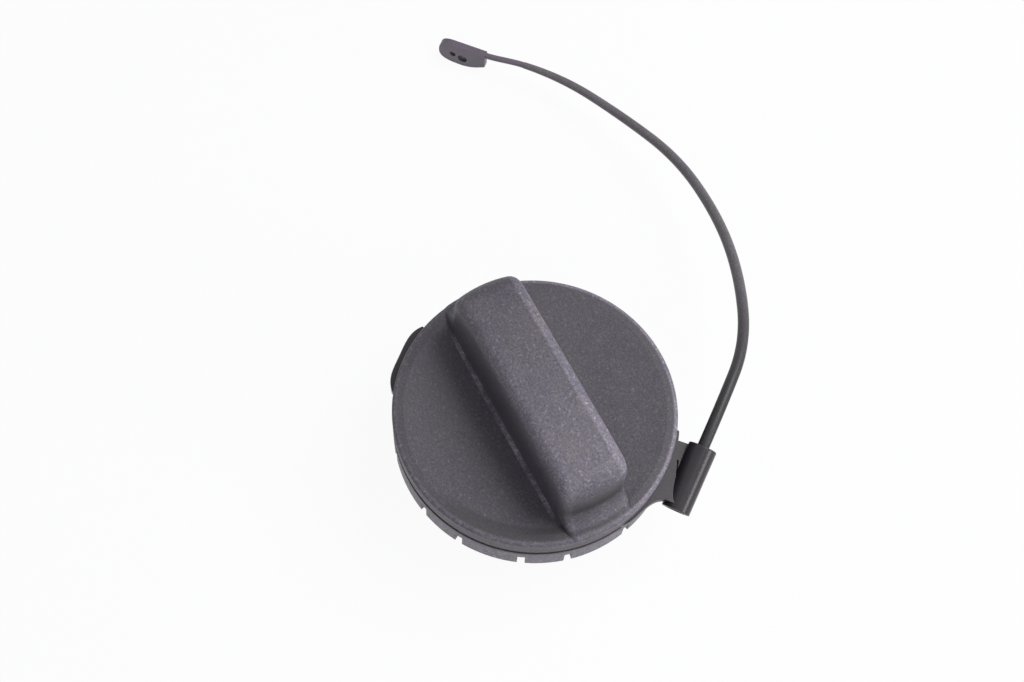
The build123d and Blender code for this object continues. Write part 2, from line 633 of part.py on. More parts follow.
def tether_end():
    """Flat tongue standing on edge, with a square shoulder that carries a thin neck to the strand."""
    start = Vector(*CORD_POINTS[-1])
    dx, dy = polar(NECK_REACH, NECK_BEARING)
    heading = Vector(*polar(1, TONGUE_HEADING), 0)
    foot = Vector(start.X + dx, start.Y + dy, 0)
    upright = Plane(origin=foot, x_dir=heading, z_dir=heading.cross(Vector(0, 0, 1)))
    top_end = (TONGUE_FLAT * TONGUE_LENGTH, TONGUE_HEIGHT)
    belly = (TONGUE_BELLY * TONGUE_LENGTH, 0)
    outline = make_face([
        Polyline((0, TONGUE_SHOULDER), (0, TONGUE_HEIGHT), top_end),
        Spline(top_end, (TONGUE_LENGTH, TONGUE_NOSE * TONGUE_HEIGHT), belly, tangents=[(1, 0), (-1, 0)]),
        Spline(belly, (0, TONGUE_SHOULDER), tangents=[(-1, 0), (-1, TONGUE_RISE)]),
    ])
    body = extrude(upright * outline, amount=TONGUE_T / 2, both=True)
    for along, height, dia in RECESSES:
        body -= upright * Pos(along, height, -TONGUE_T / 2) * extrude(Circle(dia / 2), amount=RECESS_DEPTH)
    last_run = start - Vector(*CORD_POINTS[-2])
    neck_end = foot + heading * OVERCUT + Vector(0, 0, TONGUE_HEIGHT - NECK_DIA / 2)
    run = Spline(start, neck_end, tangents=[last_run, heading])
    return body + sweep(Plane(origin=start, z_dir=last_run) * Circle(NECK_DIA / 2), run)


# ---------------------------------------------------------------------------------------------------
# Vent valve
# ---------------------------------------------------------------------------------------------------
def splash_guard():
    body = disc(GUARD_R, GUARD_Z, GUARD_Z + GUARD_T)
    body += tube(GUARD_R, GUARD_R - GUARD_RIM_WALL, GUARD_Z, GUARD_RIM_TOP)
    body += tube(GUARD_R + GUARD_BEAD, GUARD_R - GUARD_RIM_WALL / 2, GUARD_BEAD_Z - GUARD_BEAD_T / 2,
                 GUARD_BEAD_Z + GUARD_BEAD_T / 2)
    room = GUARD_R - 2 * GUARD_RIM_WALL
    last = GUARD_SLOT_SPREAD * room - GUARD_SLOT_WIDTH / 2
    for i in range(GUARD_SLOTS):
        y = last * (2 * i / (GUARD_SLOTS - 1) - 1)
        length = 2 * sqrt(room ** 2 - (abs(y) + GUARD_SLOT_WIDTH / 2) ** 2)
        body -= Pos(0, y, GUARD_Z + GUARD_T / 2) * Box(length, GUARD_SLOT_WIDTH, GUARD_T + PART_GAP)
    return body


def valve_housing():
    body = tube(HOUSING_R, HOUSING_IN_R, GUARD_RIM_TOP, HOUSING_TOP)
    floor_top = HOUSING_FLOOR_Z + HOUSING_FLOOR_T
    body += tube(HOUSING_R, SEAT_PORT_R, HOUSING_FLOOR_Z, floor_top)
    body += tube(SEAT_PORT_R + SEAT_LIP_WIDTH, SEAT_PORT_R, HOUSING_FLOOR_Z, SEAT_TOP)
    body -= tube(HOUSING_R + OVERCUT, ORING_SEAT_R, ORING_Z - ORING_R, ORING_Z + ORING_R)
    return body


def housing_oring():
    section = Plane.XZ * Pos(ORING_SEAT_R + ORING_R, ORING_Z) * Circle(ORING_R)
    return revolve(section, Axis.Z)


def pressure_seal():
    return tube(PRESSURE_SEAL_R, PRESSURE_SEAL_IN_R, SEAT_TOP, PLATE_Z)


def pressure_valve():
    body = disc(PLATE_DIA / 2, PLATE_Z, PLATE_TOP)
    body += disc(PLATE_HUB_R, PLATE_TOP, HUB_TOP)
    wing = Pos((WING_IN_R + WING_R) / 2, 0, PLATE_TOP + WING_HEIGHT / 2 - PLATE_T / 2) * Box(
        WING_R - WING_IN_R, WING_T, WING_HEIGHT + PLATE_T)
    body += around(PLATE_WINGS, wing)
    port = Pos(PLATE_HUB_R + PLATE_PORT_DIA / 2, 0, 0) * disc(PLATE_PORT_DIA / 2, PLATE_Z, HUB_TOP)
    body -= around(PLATE_PORTS, port, 180 / PLATE_PORTS)
    body -= disc(STEM_HOLE_R, PLATE_Z, HUB_TOP)
    return body


def pressure_spring():
    return coil(PRESSURE_COIL_DIA, PRESSURE_WIRE, PRESSURE_TURNS, PLATE_TOP, SPRING_TOP)


def pressure_spring_seat():
    """Flat washer between the spring and the deck, with a collar turned down inside the coil."""
    inner = COIL_IN_R - SNAP_GAP - SPRING_SEAT_T
    body = tube(PRESSURE_COIL_DIA / 2 + PRESSURE_WIRE, inner, SPRING_TOP, DECK_Z)
    return body + tube(inner + SPRING_SEAT_T, inner, SPRING_TOP - SPRING_SEAT_T, DECK_Z)


def vacuum_seal():
    return tube(VACUUM_SEAL_DIA / 2, STEM_R, VACUUM_DISC_TOP, PLATE_Z)


def vacuum_valve():
    body = disc(VACUUM_DISC_DIA / 2, VACUUM_DISC_TOP - VACUUM_DISC_T, VACUUM_DISC_TOP)
    body += disc(STEM_R, VACUUM_DISC_TOP, STEM_TOP_Z)
    return body - tube(STEM_R + OVERCUT, STEM_R - KEEPER_BITE, KEEPER_Z, KEEPER_Z + KEEPER_T)


def vacuum_spring():
    return coil(VACUUM_COIL_DIA, VACUUM_WIRE, VACUUM_TURNS, HUB_TOP, KEEPER_Z)


def vacuum_keeper():
    """Clip pushed sideways onto the stem's groove."""
    neck_r = STEM_R - KEEPER_BITE
    body = tube(KEEPER_DIA / 2, neck_r, KEEPER_Z, KEEPER_Z + KEEPER_T)
    mouth = Box(KEEPER_DIA, 2 * KEEPER_MOUTH * neck_r, KEEPER_T)
    return body - Pos(KEEPER_DIA / 2, 0, KEEPER_Z + KEEPER_T / 2) * mouth


# ---------------------------------------------------------------------------------------------------
# Write every piece
# ---------------------------------------------------------------------------------------------------
PIECES = {
    "cover": cover,
    "closure_body": closure_body,
    "filler_gasket": filler_gasket,
    "retaining_ring": retaining_ring,
    "torque_ring": torque_ring,
    "tether_ring": tether_ring,
    "cord_stop": cord_stop,
    "tether_cord": tether_cord,
    "tether_end": tether_end,
    "splash_guard": splash_guard,
    "valve_housing": valve_housing,
    "housing_oring": housing_oring,
    "pressure_seal": pressure_seal,
    "pressure_valve": pressure_valve,
    "pressure_spring": pressure_spring,
    "pressure_spring_seat": pressure_spring_seat,
    "vacuum_seal": vacuum_seal,
    "vacuum_valve": vacuum_valve,
    "vacuum_spring": vacuum_spring,
    "vacuum_keeper": vacuum_keeper,
}

os.makedirs("parts", exist_ok=True)
for name, build in PIECES.items():
    export_step(build(), f"parts/{name}.step")
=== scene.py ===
"""Dresses a fuel filler cap: finishes for its moulded, rubber and steel pieces, the strand and the stage."""
import json
from math import cos, radians, sin

import bpy
from bpy.props import FloatProperty, FloatVectorProperty, PointerProperty
from mathutils import Matrix, Vector


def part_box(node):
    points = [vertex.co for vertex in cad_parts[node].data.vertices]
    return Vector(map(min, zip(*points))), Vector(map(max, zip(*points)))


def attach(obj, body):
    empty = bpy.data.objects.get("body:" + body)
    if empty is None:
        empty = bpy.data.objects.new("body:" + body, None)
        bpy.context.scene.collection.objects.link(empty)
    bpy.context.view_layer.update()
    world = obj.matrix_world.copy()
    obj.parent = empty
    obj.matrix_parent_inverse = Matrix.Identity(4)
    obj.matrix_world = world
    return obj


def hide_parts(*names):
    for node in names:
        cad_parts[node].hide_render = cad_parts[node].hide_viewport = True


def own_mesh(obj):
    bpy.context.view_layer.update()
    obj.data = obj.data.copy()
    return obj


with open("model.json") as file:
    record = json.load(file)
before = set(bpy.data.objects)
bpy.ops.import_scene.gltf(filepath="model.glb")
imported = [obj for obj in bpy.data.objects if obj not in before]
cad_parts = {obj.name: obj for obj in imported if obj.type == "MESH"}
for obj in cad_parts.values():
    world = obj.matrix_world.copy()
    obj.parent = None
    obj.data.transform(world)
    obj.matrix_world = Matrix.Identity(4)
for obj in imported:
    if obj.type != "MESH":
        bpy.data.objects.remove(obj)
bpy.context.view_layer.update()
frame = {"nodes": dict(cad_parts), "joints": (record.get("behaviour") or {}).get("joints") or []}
NODES = frame["nodes"]

bl_info = {
    "name": "Fuel Filler Cap",
    "version": (1, 0, 0),
    "blender": (4, 5, 0),
    "location": "3D View > Sidebar > Filler Cap",
    "description": "Finishes a bayonet filler cap with its strand, and sets it on a pale stage",
    "category": "Object",
}

MM = 0.001

# Strand's route, in metres, from the plug in the sleeve's mouth to the end tongue's neck
STRAND_POINTS = [
    (0.03085, 0.03706, 0.03426),
    (0.02324, 0.04705, 0.03800),
    (0.0090, 0.0648, 0.0360),
    (-0.0135, 0.0775, 0.0298),
    (-0.0363, 0.0851, 0.0227),
    (-0.0627, 0.0875, 0.0163),
    (-0.0874, 0.0813, 0.0114),
    (-0.1116, 0.0713, 0.0089),
    (-0.1213, 0.0625, 0.0088),
]
STRAND_TAPER = (1.045, 1.04, 1.02, 1.0, 0.98, 0.95, 0.90, 0.80, 0.66)
STRAND_BEVEL_STEPS = 8
STRAND_RUN_STEPS = 24

# Cover's own sizes, in metres
COVER_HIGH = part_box("cover")[1]
COVER_R = COVER_HIGH[0]
BAR_CREST = COVER_HIGH[2]
RIM_Z = 38.5 * MM
RIM_WIDTH = 3.2 * MM
DISH_DEPTH = 2.2 * MM
DISH_FLOOR = RIM_Z - DISH_DEPTH
DISH_BALL_R = ((COVER_R - RIM_WIDTH) ** 2 + DISH_DEPTH ** 2) / (2 * DISH_DEPTH)
BAR_HALF = 9.2 * MM
BAR_FOOT = 10.1 * MM
BAR_REACH = 33.5 * MM

# Where the cover's wear and its painted light and shade change: start and end of each run, in metres. Right
# is +Y, the near end is +X
TOP_Z = (BAR_CREST - 13.8 * MM, BAR_CREST - 2.8 * MM)
TOP_X = (-35 * MM, 30 * MM)
RIGHT_EDGE_Y = (BAR_HALF - 2.0 * MM, BAR_HALF + 0.4 * MM)
RIGHT_EDGE_Z = (BAR_CREST - 5.3 * MM, BAR_CREST - 3.3 * MM)
LEFT_EDGE_Y = (-BAR_HALF, 2.0 * MM - BAR_HALF)
LEFT_EDGE_Z = (BAR_CREST - 4.8 * MM, BAR_CREST - 2.8 * MM)
SIDE_Y = (BAR_HALF - 0.4 * MM, BAR_HALF + 0.2 * MM)
SIDE_Z = (RIM_Z + 1.5 * MM, BAR_CREST - 6.8 * MM)
END_WALL_X = (BAR_REACH - 2.5 * MM, BAR_REACH)
END_WALL_Z = (BAR_CREST - 13.8 * MM, BAR_CREST - 5.8 * MM)
FLARE_X = (BAR_REACH + 0.5 * MM, BAR_REACH + 2.5 * MM)
FLARE_Z = (RIM_Z + 4.5 * MM, RIM_Z + 7.5 * MM)
FLARE_ABOVE_DISH = (0.8 * MM, 2.0 * MM)
CORNER_X = (BAR_REACH - 3.5 * MM, BAR_REACH - 2.0 * MM)
CORNER_Y = (BAR_HALF - 1.4 * MM, BAR_HALF)
CORNER_Z = (RIM_Z + 1.5 * MM, BAR_CREST - 3.8 * MM)
# pale line at the bar's foot: painted highlight with some dust
FOOT_LINE_X = (BAR_REACH - 9.0 * MM, BAR_REACH)
FOOT_LINE_Y = (BAR_FOOT - 0.2 * MM, BAR_FOOT + 0.9 * MM)
FOOT_LINE_ABOVE_DISH = (0.6 * MM, 1.4 * MM)
RIM_EDGE_R = (COVER_R - 1.6 * MM, COVER_R - 0.8 * MM)
RIM_EDGE_Z = (RIM_Z - 2.5 * MM, RIM_Z - 1.0 * MM)
RIGHT_RIM_Y = (-5 * MM, 20 * MM)
# painted shade inside the rim's near side
RIM_SHADE_R = (COVER_R - 4.8 * MM, COVER_R - 2.0 * MM)
RIM_SHADE_X = (5 * MM, 20 * MM)
RIM_SHADE_Y = (2 * MM, 18 * MM)
RIM_SHADE_ABOVE_DISH = (1.0 * MM, 2.0 * MM)
SKIRT_Z = (29 * MM, 31 * MM)
STRAND_PALE_X = (-20 * MM, 24 * MM)

# Sizes of the patterns in the finishes, in metres
CLOUD = 9.0 * MM
BLOOM = 4.0 * MM
SMEAR = 7.0 * MM
SCUFF = 1.6 * MM
FINE_SCUFF = 0.5 * MM
RUBBER_BLOOM = 6.0 * MM
RUBBER_PORE = 0.3 * MM
STEEL_STREAK = 0.8 * MM

# Stage
FLOOR_SIZE = 6.0
FLOOR_GREY = (0.9, 0.9, 0.9, 1)
FLOOR_GLOW = (0.99, 0.99, 0.995, 1)
GLOW_SHARE = 0.95
WHITE = (1, 1, 1, 1)
SENSOR_WIDTH = 36
LAMP_AIM = (0, 0, 40 * MM)


# ---------------------------------------------------------------------------------------------------
# Properties
# ---------------------------------------------------------------------------------------------------
class CapFinishes(bpy.types.PropertyGroup):
    """Colours and grain of the cap's mouldings."""

    cover: FloatVectorProperty(
        name="Cover", description="Purple-grey of the cover moulding", subtype="COLOR",
        size=3, default=(0.078, 0.070, 0.085), min=0, max=1)
    tether: FloatVectorProperty(
        name="Tether", description="Black of the tether mouldings", subtype="COLOR",
        size=3, default=(0.021, 0.017, 0.023), min=0, max=1)
    tongue: FloatVectorProperty(
        name="End tongue", description="Dusty grey of the strand's end tongue", subtype="COLOR",
        size=3, default=(0.1008, 0.0816, 0.1104), min=0, max=1)
    strand: FloatVectorProperty(
        name="Strand", description="Dark grey of the tether strand", subtype="COLOR",
        size=3, default=(0.036, 0.033, 0.0375), min=0, max=1)
    closure: FloatVectorProperty(
        name="Closure", description="Black of the closure body", subtype="COLOR",
        size=3, default=(0.022, 0.022, 0.024), min=0, max=1)
    valve: FloatVectorProperty(
        name="Valve", description="Off-white of the valve mouldings", subtype="COLOR",
        size=3, default=(0.62, 0.60, 0.53), min=0, max=1)
    rubber: FloatVectorProperty(
        name="Rubber", description="Black of the seals", subtype="COLOR",
        size=3, default=(0.018, 0.018, 0.018), min=0, max=1)
    steel: FloatVectorProperty(
        name="Steel", description="Colour of the springs", subtype="COLOR",
        size=3, default=(0.56, 0.56, 0.58), min=0, max=1)
    grain: FloatProperty(
        name="Cover grain", description="Size of the moulded texture on the cover", subtype="DISTANCE",
        unit="LENGTH", default=0.55 * MM, min=0.05 * MM, max=2 * MM)


class StrandSizes(bpy.types.PropertyGroup):
    """Sizes of the tether strand."""

    diameter: FloatProperty(
        name="Diameter", description="Strand's diameter at mid length", subtype="DISTANCE",
        unit="LENGTH", default=3.3 * MM, min=1 * MM, max=8 * MM)
    length: FloatProperty(
        name="Length", description="Strand's length from the sleeve to the end tongue's neck",
        subtype="DISTANCE", unit="LENGTH", default=178.5 * MM, min=50 * MM, max=400 * MM)


class StageSettings(bpy.types.PropertyGroup):
    """Camera and light of the stage."""

    lens: FloatProperty(
        name="Lens", description="Focal length", subtype="DISTANCE_CAMERA", default=50, min=10, max=300)
    distance: FloatProperty(
        name="Distance", description="From the camera to the point it looks at", subtype="DISTANCE",
        unit="LENGTH", default=0.40682, min=0.1, max=5)
    azimuth: FloatProperty(
        name="Azimuth", description="Plan direction of the camera from the cap", subtype="ANGLE",
        unit="ROTATION", default=radians(-33.24))
    elevation: FloatProperty(
        name="Elevation", description="Height of the camera above the horizon", subtype="ANGLE",
        unit="ROTATION", default=radians(65.51))
    roll: FloatProperty(
        name="Roll", description="Turn of the camera about its own axis", subtype="ANGLE",
        unit="ROTATION", default=radians(5.97))
    target: FloatVectorProperty(
        name="Target", description="Point the camera looks at", subtype="TRANSLATION",
        unit="LENGTH", size=3, default=(-0.02104, 0.00359, 0.0385))
    key: FloatProperty(
        name="Key light", description="Power of the large lamp behind the cap", subtype="POWER",
        unit="POWER", default=8.2, min=0, max=100)
    fill: FloatProperty(
        name="Fill light", description="Power of the lamp beside the camera", subtype="POWER",
        unit="POWER", default=2.0, min=0, max=100)
    edge: FloatProperty(
        name="Edge light", description="Power of the small low lamp that picks out the edges",
        subtype="POWER", unit="POWER", default=3.2, min=0, max=100)
    sky: FloatProperty(
        name="Sky", description="Brightness of the soft light from all round", default=0.2, min=0, max=2)


# ---------------------------------------------------------------------------------------------------
# Material building
# ---------------------------------------------------------------------------------------------------
class Finish:
    """Small helper that lays nodes and links in one material."""

    def __init__(self, name):
        self.material = bpy.data.materials.new(name)
        self.material.use_nodes = True
        self.tree = self.material.node_tree
        self.tree.nodes.clear()
        output = self.add("ShaderNodeOutputMaterial")
        self.bsdf = self.add("ShaderNodeBsdfPrincipled")
        self.link(self.bsdf, "BSDF", output, "Surface")
        self.place = self.add("ShaderNodeTexCoord")

    def add(self, kind, **values):
        node = self.tree.nodes.new(kind)
        for key, value in values.items():
            setattr(node, key, value)
        return node

    def link(self, source, out_name, target, in_name):
        self.tree.links.new(source.outputs[out_name], target.inputs[in_name])

    def noise(self, size, detail, roughness):
        """Noise in blobs of about one size, fixed to the piece."""
        node = self.add("ShaderNodeTexNoise")
        node.inputs["Scale"].default_value = 1 / size
        node.inputs["Detail"].default_value = detail
        node.inputs["Roughness"].default_value = roughness
        self.link(self.place, "Object", node, "Vector")
        return node

    def ramp(self, source, stops):
        """Colour ramp over a noise; each stop is a position and a grey level or colour."""
        node = self.add("ShaderNodeValToRGB")
        elements = node.color_ramp.elements
        while len(elements) < len(stops):
            elements.new(0.5)
        for element, (position, level) in zip(elements, stops):
            element.position = position
            element.color = (*level, 1) if isinstance(level, tuple) else (level, level, level, 1)
        self.link(source, "Fac", node, "Fac")
        return node

    def mix(self, factor, a, b, blend="MIX"):
        """Two colours mixed by a factor."""
        node = self.add("ShaderNodeMix", data_type="RGBA", blend_type=blend)
        self._feed(node.inputs[0], factor)
        self._feed(node.inputs[6], a)
        self._feed(node.inputs[7], b)
        return node

    def math(self, operation, a, b=0.0):
        node = self.add("ShaderNodeMath", operation=operation)
        self._feed(node.inputs[0], a)
        self._feed(node.inputs[1], b)
        return node

    def axis(self, letter):
        """Object coordinate along one axis."""
        split = self.add("ShaderNodeSeparateXYZ")
        self.link(self.place, "Object", split, "Vector")
        return split.outputs[letter]

    def fade(self, value, low, high, at_low, at_high):
        """Smooth change of a value between two levels."""
        node = self.add("ShaderNodeMapRange", interpolation_type="SMOOTHSTEP")
        self._feed(node.inputs["Value"], value)
        node.inputs["From Min"].default_value = low
        node.inputs["From Max"].default_value = high
        node.inputs["To Min"].default_value = at_low
        node.inputs["To Max"].default_value = at_high
        return node.outputs["Result"]

    def radius(self):
        """Distance from the cap's axis."""
        flat = self.add("ShaderNodeVectorMath", operation="MULTIPLY")
        flat.inputs[1].default_value = (1, 1, 0)
        self.link(self.place, "Object", flat, 0)
        out = self.add("ShaderNodeVectorMath", operation="LENGTH")
        self.link(flat, "Vector", out, 0)
        return out.outputs["Value"]

    def rise(self, value, low, high):
        """0 below a run, 1 above it."""
        return self.fade(value, low, high, 0, 1)

    def fall(self, value, low, high):
        """1 below a run, 0 above it."""
        return self.fade(value, low, high, 1, 0)

    def band(self, value, low, high, soft):
        """1 between two levels, fading to 0 over a soft run outside each."""
        before, after = self.rise(value, low - soft, low), self.fall(value, high, high + soft)
        return self.math("MULTIPLY", before, after)

    def product(self, masks):
        """1 where every mask is 1, 0 where any is 0."""
        total = masks[0]
        for mask in masks[1:]:
            total = self.math("MULTIPLY", total, mask)
        return total

    def scaled(self, colour, factor):
        """Colour made lighter or darker from place to place."""
        node = self.add("ShaderNodeVectorMath", operation="SCALE")
        self._feed(node.inputs["Vector"], colour)
        self._feed(node.inputs["Scale"], factor)
        return node

    def _feed(self, socket, value):
        """Give a socket a node's result, another socket's, a number or a colour."""
        if isinstance(value, bpy.types.Node):
            outputs = value.outputs
            name = next(n for n in ("Color", "Value", "Fac", "Result") if n in outputs)
            source = outputs[2] if value.bl_idname == "ShaderNodeMix" else outputs[name]
            self.tree.links.new(source, socket)
        elif isinstance(value, bpy.types.NodeSocket):
            self.tree.links.new(value, socket)
        elif isinstance(value, (int, float)):
            socket.default_value = value
        else:
            socket.default_value = (*value, 1)

    def bump(self, height, distance):
        """Fine relief that tilts the surface's normal."""
        node = self.add("ShaderNodeBump")
        node.inputs["Strength"].default_value = 1.0
        node.inputs["Distance"].default_value = distance
        self._feed(node.inputs["Height"], height)
        self.link(node, "Normal", self.bsdf, "Normal")

    def rough(self, source, low, high):
        """Roughness that follows a noise; each end is a position in the noise and a roughness."""
        self.link(self.ramp(source, [low, high]), "Color", self.bsdf, "Roughness")


def shade(colour, factor):
    return tuple(channel * factor for channel in colour)


def tint(colour, factors):
    return tuple(channel * factor for channel, factor in zip(colour, factors))


def grained_plastic(name, colour, grain, roughness, relief):
    """Spark-textured moulding: grain, warm and cool clouds, light specks, and the cover's wear with its
    painted light and shade.
    """
    finish = Finish(name)
    fine = finish.noise(grain, detail=3.0, roughness=0.65)
    cloud = finish.noise(CLOUD, detail=4.0, roughness=0.6)
    bloom = finish.noise(BLOOM, detail=2.0, roughness=0.6)
    speck = finish.noise(grain * 1.6, detail=2.0, roughness=0.7)
    cool = tint(colour, (0.85, 0.86, 0.91))
    warm = tint(colour, (1.13, 1.10, 1.08))
    base = finish.ramp(cloud, [(0.36, cool), (0.64, warm)])
    bluish = finish.ramp(bloom, [(0.35, (0.93, 0.94, 1.0)), (0.65, 1.0)])
    pits = finish.ramp(fine, [(0.34, 0.44), (0.66, 1.06)])
    tinted = finish.mix(1.0, base, bluish, "MULTIPLY")
    pitted = finish.mix(1.0, tinted, pits, "MULTIPLY")
    dust = finish.ramp(speck, [(0.56, 0.0), (0.78, 1.0)])
    dusted = finish.mix(finish.math("MULTIPLY", dust, 0.65), pitted, shade(colour, 2.4))
    finish.link(finish.scaled(dusted, cover_wear_and_painted_light(finish)), "Vector", finish.bsdf, "Base Color")
    finish.rough(cloud, (0.25, roughness - 0.05), (0.75, roughness + 0.06))
    finish.bsdf.inputs["Specular IOR Level"].default_value = 0.5
    finish.bump(fine.outputs["Fac"], relief)
    return finish.material


def cover_wear_and_painted_light(finish):
    """How much lighter or darker than fresh moulding each place on the cover is made, by wear and by painted
    light and shade.
    """
    x, y, z, r = finish.axis("X"), finish.axis("Y"), finish.axis("Z"), finish.radius()
    along, beside = finish.math("ABSOLUTE", x), finish.math("ABSOLUTE", y)
    bowl = finish.math("DIVIDE", finish.math("MULTIPLY", r, r), 2 * DISH_BALL_R)
    above_dish = finish.math("SUBTRACT", z, finish.math("ADD", bowl, DISH_FLOOR))
    scuffs = finish.ramp(finish.noise(SCUFF, detail=4.0, roughness=0.7), [(0.36, 0.35), (0.64, 1.15)])
    smears = finish.ramp(finish.noise(SMEAR, detail=2.0, roughness=0.5), [(0.36, 0.15), (0.62, 1.0)])
    rim_edge = (finish.rise(r, *RIM_EDGE_R), finish.rise(z, *RIM_EDGE_Z))
    # each place's change, above 0 for paler and below 0 for darker, and the masks that pick it out
    places = (
        # bar's top: painted light, growing towards the end nearer the strand's sleeve
        (0.70, (finish.rise(z, *TOP_Z), finish.fade(x, *TOP_X, 0.25, 1.25))),
        # bar's long edges: paler from wear and a painted highlight, strongest on the right; on the left,
        # painted light where the rounding falls into shade
        (1.25, (finish.band(y, *RIGHT_EDGE_Y, 0.9 * MM), finish.rise(z, *RIGHT_EDGE_Z), scuffs)),
        (0.35, (finish.band(y, *LEFT_EDGE_Y, 0.8 * MM), finish.rise(z, *LEFT_EDGE_Z))),
        # bar's sides and near end wall: painted shade
        (-0.28, (finish.rise(beside, *SIDE_Y), finish.band(z, *SIDE_Z, 3.0 * MM))),
        (-0.70, (finish.rise(x, *END_WALL_X), finish.band(z, *END_WALL_Z, 2.5 * MM))),
        # flare and upright corners at that end: painted light, broken up by scuffs on the corners
        (0.45, (finish.rise(x, *FLARE_X), finish.fall(z, *FLARE_Z),
                finish.rise(above_dish, *FLARE_ABOVE_DISH))),
        (0.55, (finish.rise(x, *CORNER_X), finish.band(beside, *CORNER_Y, 0.6 * MM),
                finish.band(z, *CORNER_Z, 2.0 * MM), scuffs)),
        # pale broken line at the bar's foot: painted highlight on the crease, with some dust
        (3.6, (finish.fall(along, *FOOT_LINE_X), finish.band(beside, *FOOT_LINE_Y, 0.6 * MM),
               finish.fall(above_dish, *FOOT_LINE_ABOVE_DISH), smears, scuffs)),
        # rim's edge: paler from wear and a painted highlight, the painted highlight strongest on the bar's
        # right
        (0.9, (*rim_edge, scuffs)),
        (1.35, (*rim_edge, finish.rise(y, *RIGHT_RIM_Y))),
        # painted shade in the corner inside the rim, on the near side
        (-0.42, (finish.band(r, *RIM_SHADE_R, 1.0 * MM), finish.fall(above_dish, *RIM_SHADE_ABOVE_DISH),
                 finish.rise(x, *RIM_SHADE_X), finish.fall(y, *RIM_SHADE_Y))),
        # skirt paler: dust and painted light
        (2.0, (finish.fall(z, *SKIRT_Z), scuffs)),
    )
    level = 1.0
    for change, masks in places:
        level = finish.math("ADD", level, finish.math("MULTIPLY", finish.product(masks), change))
    return level


def smooth_plastic(name, colour, roughness, dust=0.3, gloss=0.5, wear=None):
    """Smooth moulding with flow marks, fine scuffs and a little dust; wear changes it from place to place."""
    finish = Finish(name)
    flow = finish.noise(CLOUD, detail=2.0, roughness=0.5)
    scuff = finish.noise(FINE_SCUFF, detail=4.0, roughness=0.7)
    base = finish.ramp(flow, [(0.3, shade(colour, 0.88)), (0.7, shade(colour, 1.15))])
    film = finish.ramp(scuff, [(0.45, 0.0), (0.75, 1.0)])
    dusted = finish.mix(finish.math("MULTIPLY", film, dust), base, shade(colour, 2.4))
    finish.link(finish.scaled(dusted, wear(finish) if wear else 1.0), "Vector", finish.bsdf, "Base Color")
    finish.rough(scuff, (0.35, roughness - 0.03), (0.75, roughness + 0.06))
    finish.bsdf.inputs["Specular IOR Level"].default_value = gloss
    finish.bump(scuff.outputs["Fac"], 0.008 * MM)
    return finish.material


def strand_paling(finish):
    """Pale over the strand's free length, dark near the sleeve."""
    return finish.fade(finish.axis("X"), *STRAND_PALE_X, 3.0, 0.5)


def seal_rubber(name, colour):
    """Matt rubber with a faint bloom and fine pores."""
    finish = Finish(name)
    bloom = finish.noise(RUBBER_BLOOM, detail=3.0, roughness=0.6)
    pores = finish.noise(RUBBER_PORE, detail=2.0, roughness=0.6)
    base = finish.ramp(bloom, [(0.35, shade(colour, 0.85)), (0.75, shade(colour, 1.6))])
    finish.link(base, "Color", finish.bsdf, "Base Color")
    finish.rough(bloom, (0.3, 0.62), (0.7, 0.78))
    finish.bump(pores.outputs["Fac"], 0.02 * MM)
    return finish.material


def drawn_steel(name, colour):
    """Bright wire and strip with faint streaks."""
    finish = Finish(name)
    streak = finish.noise(STEEL_STREAK, detail=4.0, roughness=0.6)
    base = finish.ramp(streak, [(0.3, shade(colour, 0.82)), (0.7, colour)])
    finish.link(base, "Color", finish.bsdf, "Base Color")
    finish.bsdf.inputs["Metallic"].default_value = 1.0
    finish.rough(streak, (0.3, 0.24), (0.7, 0.38))
    return finish.material


def finish_node(node, material):
    mesh = NODES[node].data
    mesh.materials.clear()
    mesh.materials.append(material)


def finish_nodes(names, material):
    for name in names:
        finish_node(name, material)


# ---------------------------------------------------------------------------------------------------
# Operators
# ---------------------------------------------------------------------------------------------------
class CAP_OT_cover(bpy.types.Operator):
    """Finish the cover moulding"""

    bl_idname = "cap.cover"
    bl_label = "Cover"

    def execute(self, context):
        look = context.scene.cap_finishes
        grained = grained_plastic(
            "cover_grain", tuple(look.cover), look.grain, roughness=0.52, relief=0.035 * MM)
        finish_node("cover", grained)
        return {"FINISHED"}


class CAP_OT_tether(bpy.types.Operator):
    """Finish the tether ring, the anchor plug and the end tongue"""

    bl_idname = "cap.tether"
    bl_label = "Tether mouldings"

    def execute(self, context):
        look = context.scene.cap_finishes
        satin = smooth_plastic("tether_satin", tuple(look.tether), roughness=0.30, gloss=0.38)
        finish_nodes(("tether_ring", "cord_stop"), satin)
        dusty = smooth_plastic("tongue_satin", tuple(look.tongue), roughness=0.34, dust=0.5)
        finish_node("tether_end", dusty)
        return {"FINISHED"}


